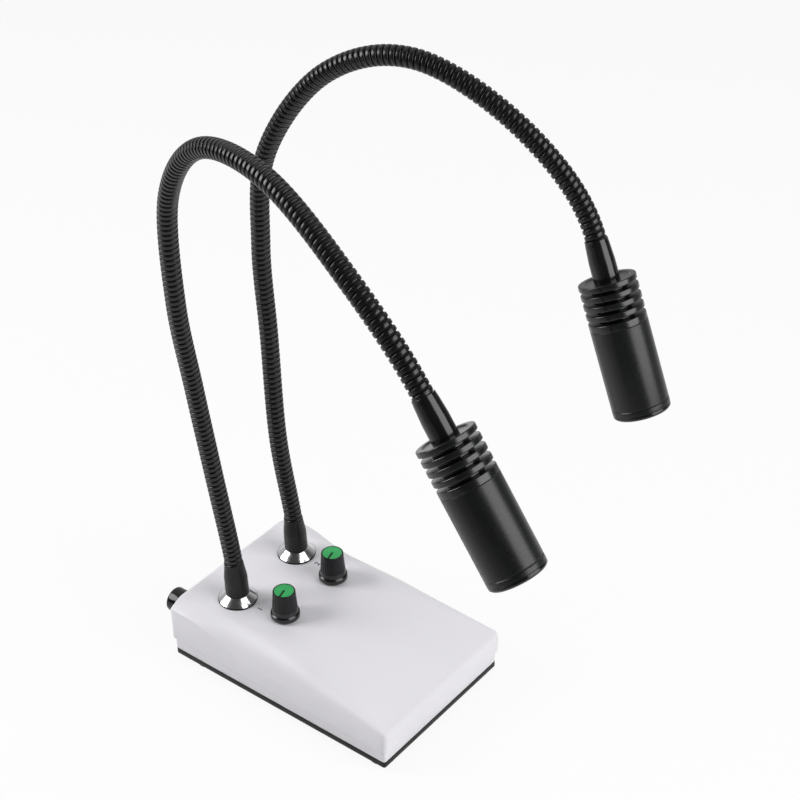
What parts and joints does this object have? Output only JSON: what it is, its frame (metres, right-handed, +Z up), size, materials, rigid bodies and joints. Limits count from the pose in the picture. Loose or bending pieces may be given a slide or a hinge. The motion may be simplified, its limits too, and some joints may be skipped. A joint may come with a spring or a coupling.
{
  "type": "dual gooseneck illuminator",
  "caption": "Bench illuminator: wedge-shaped base with dimmer knobs and two ribbed gooseneck arms, each ending in a finned cylindrical lamp head with a lens.",
  "frame": {"origin": "centre of the base, on the surface that its rubber feet stand on", "axes": "+Z up, -Y towards the front, where the slope and the lamp heads are; +X across the base, to the right of someone who faces the front slope from in front and looks along +Y"},
  "size_m": [0.1675, 0.2847, 0.3699],
  "materials": {
    "white_housing": "fine satin moulding",
    "white_tray": "fine satin moulding",
    "black_steel": "black satin paint",
    "black_rubber": "matt",
    "steel": "plated",
    "green_board": "solder mask",
    "black_gloss": "gloss",
    "black_matte": "satin",
    "clear_glass": "clear",
    "chrome": "polished",
    "black_sleeve": "shrunk tube, semi-gloss",
    "pot_can": "pressed",
    "black_knob": "semi-gloss",
    "green_cap": "satin",
    "black_anodised": "black anodised, satin",
    "black_bezel": "black anodised, gloss",
    "mirror_cone": "polished",
    "led_board": "metal-core board",
    "black_hose": "black, semi-gloss"
  },
  "bodies": {
    "base": {"upper_housing": "white_housing", "lower_tray": "white_tray", "base_plate": "black_steel", "rubber_feet": "black_rubber", "case_screws": "steel", "ferrule_nuts": "steel", "pot_nuts": "steel", "driver_board": "green_board", "board_screws": "steel", "fuse_holder": "black_gloss", "fuse_nut": "black_matte", "power_inlet": "black_matte", "collar_1": "chrome", "collar_2": "chrome", "ferrule_1": "steel", "ferrule_2": "steel", "base_sleeve_1": "black_sleeve", "base_sleeve_2": "black_sleeve", "pot_body_1": "pot_can", "pot_body_2": "pot_can"},
    "knob_1": {"pot_shaft_1": "steel", "knob_1": "black_knob", "knob_cap_1": "green_cap"},
    "knob_2": {"pot_shaft_2": "steel", "knob_2": "black_knob", "knob_cap_2": "green_cap"},
    "fuse_cap": {"fuse_cap": "black_gloss", "fuse": "clear_glass"},
    "arm_1_link_1": {"hose_1_1": "black_hose"},
    "arm_1_link_2": {"hose_1_2": "black_hose"},
    "arm_1_link_3": {"hose_1_3": "black_hose"},
    "arm_1_link_4": {"hose_1_4": "black_hose"},
    "arm_1_link_5": {"hose_1_5": "black_hose"},
    "arm_1_link_6": {"hose_1_6": "black_hose"},
    "arm_1_link_7": {"hose_1_7": "black_hose"},
    "arm_1_link_8": {"head_sleeve_1": "black_sleeve", "heat_sink_1": "black_anodised", "barrel_1": "black_anodised", "bezel_1": "black_bezel", "lens_1": "clear_glass", "reflector_1": "mirror_cone", "led_board_1": "led_board", "hose_1_8": "black_hose"},
    "arm_2_link_1": {"hose_2_1": "black_hose"},
    "arm_2_link_2": {"hose_2_2": "black_hose"},
    "arm_2_link_3": {"hose_2_3": "black_hose"},
    "arm_2_link_4": {"hose_2_4": "black_hose"},
    "arm_2_link_5": {"hose_2_5": "black_hose"},
    "arm_2_link_6": {"hose_2_6": "black_hose"},
    "arm_2_link_7": {"hose_2_7": "black_hose"},
    "arm_2_link_8": {"head_sleeve_2": "black_sleeve", "heat_sink_2": "black_anodised", "barrel_2": "black_anodised", "bezel_2": "black_bezel", "lens_2": "clear_glass", "reflector_2": "mirror_cone", "led_board_2": "led_board", "hose_2_8": "black_hose"}
  },
  "joints": [
    {"name": "arm_1_sway_1", "type": "hinge", "parent": "base", "child": "arm_1_link_1", "pos_m": [-0.025, 0.048, 0.065], "axis": [0.9986, 0.0036, 0.0537], "range_deg": [-10, 10]},
    {"name": "arm_1_swing_2", "type": "hinge", "parent": "arm_1_link_1", "child": "arm_1_link_2", "pos_m": [-0.031, 0.0525, 0.1247], "axis": [0, -0.9983, 0.0591], "range_deg": [-6, 12]},
    {"name": "arm_1_sway_3", "type": "hinge", "parent": "arm_1_link_2", "child": "arm_1_link_3", "pos_m": [-0.0375, 0.055, 0.1832], "axis": [0.9904, 0, 0.1384], "range_deg": [-10, 10]},
    {"name": "arm_1_swing_4", "type": "hinge", "parent": "arm_1_link_3", "child": "arm_1_link_4", "pos_m": [-0.047, 0.0525, 0.2392], "axis": [0, -0.995, -0.0999], "range_deg": [-6, 12]},
    {"name": "arm_1_nod_5", "type": "hinge", "parent": "arm_1_link_4", "child": "arm_1_link_5", "pos_m": [-0.0545, 0.043, 0.3027], "axis": [0.9872, -0.0613, 0.1469], "range_deg": [-12, 12]},
    {"name": "arm_1_swing_6", "type": "hinge", "parent": "arm_1_link_5", "child": "arm_1_link_6", "pos_m": [-0.065, 0.0095, 0.3422], "axis": [0, -0.4756, -0.8796], "range_deg": [-6, 12]},
    {"name": "arm_1_nod_7", "type": "hinge", "parent": "arm_1_link_6", "child": "arm_1_link_7", "pos_m": [-0.0795, -0.043, 0.3492], "axis": [0.9676, -0.2495, -0.0381], "range_deg": [-12, 12]},
    {"name": "arm_1_swing_8", "type": "hinge", "parent": "arm_1_link_7", "child": "arm_1_link_8", "pos_m": [-0.0935, -0.0985, 0.3257], "axis": [0, 0.5475, -0.8368], "range_deg": [-6, 12]},
    {"name": "arm_2_sway_1", "type": "hinge", "parent": "base", "child": "arm_2_link_1", "pos_m": [0.025, 0.048, 0.065], "axis": [0.9986, 0.0036, 0.0537], "range_deg": [-10, 10]},
    {"name": "arm_2_swing_2", "type": "hinge", "parent": "arm_2_link_1", "child": "arm_2_link_2", "pos_m": [0.0195, 0.052, 0.1212], "axis": [0, 0.9983, -0.0581], "range_deg": [-6, 12]},
    {"name": "arm_2_sway_3", "type": "hinge", "parent": "arm_2_link_2", "child": "arm_2_link_3", "pos_m": [0.0205, 0.055, 0.1852], "axis": [0.9999, 0.0003, 0.0165], "range_deg": [-10, 10]},
    {"name": "arm_2_swing_4", "type": "hinge", "parent": "arm_2_link_3", "child": "arm_2_link_4", "pos_m": [0.0175, 0.054, 0.2427], "axis": [0, 0.9941, 0.1085], "range_deg": [-6, 12]},
    {"name": "arm_2_nod_5", "type": "hinge", "parent": "arm_2_link_4", "child": "arm_2_link_5", "pos_m": [0.0135, 0.0425, 0.2997], "axis": [0.9999, 0.0052, -0.0119], "range_deg": [-12, 12]},
    {"name": "arm_2_swing_6", "type": "hinge", "parent": "arm_2_link_5", "child": "arm_2_link_6", "pos_m": [0.019, 0.0075, 0.3482], "axis": [0, 0.6143, 0.7891], "range_deg": [-6, 12]},
    {"name": "arm_2_nod_7", "type": "hinge", "parent": "arm_2_link_6", "child": "arm_2_link_7", "pos_m": [0.0265, -0.041, 0.3647], "axis": [0.9831, 0.1824, 0.0171], "range_deg": [-12, 12]},
    {"name": "arm_2_swing_8", "type": "hinge", "parent": "arm_2_link_7", "child": "arm_2_link_8", "pos_m": [0.038, -0.094, 0.3387], "axis": [0, -0.6274, 0.7787], "range_deg": [-6, 12]},
    {"name": "knob_1_turn", "type": "hinge", "parent": "base", "child": "knob_1", "pos_m": [-0.0205, 0.017, 0.0387], "axis": [0, 0, -1], "range_deg": [-45, 255]},
    {"name": "knob_2_turn", "type": "hinge", "parent": "base", "child": "knob_2", "pos_m": [0.0205, 0.017, 0.0387], "axis": [0, 0, -1], "range_deg": [-45, 255]},
    {"name": "fuse_cap_turn", "type": "hinge", "parent": "base", "child": "fuse_cap", "pos_m": [-0.0365, 0.0765, 0.0265], "axis": [0, 1, 0], "range_deg": [0, 90]}
  ],
  "couplings": [
    {"joint": "arm_1_sway_3", "follows": "arm_1_sway_1", "ratio": 1},
    {"joint": "arm_1_swing_4", "follows": "arm_1_swing_2", "ratio": 1},
    {"joint": "arm_1_swing_6", "follows": "arm_1_swing_2", "ratio": 1},
    {"joint": "arm_1_nod_7", "follows": "arm_1_nod_5", "ratio": 1},
    {"joint": "arm_1_swing_8", "follows": "arm_1_swing_2", "ratio": 1},
    {"joint": "arm_2_sway_3", "follows": "arm_2_sway_1", "ratio": 1},
    {"joint": "arm_2_swing_4", "follows": "arm_2_swing_2", "ratio": 1},
    {"joint": "arm_2_swing_6", "follows": "arm_2_swing_2", "ratio": 1},
    {"joint": "arm_2_nod_7", "follows": "arm_2_nod_5", "ratio": 1},
    {"joint": "arm_2_swing_8", "follows": "arm_2_swing_2", "ratio": 1}
  ]
}
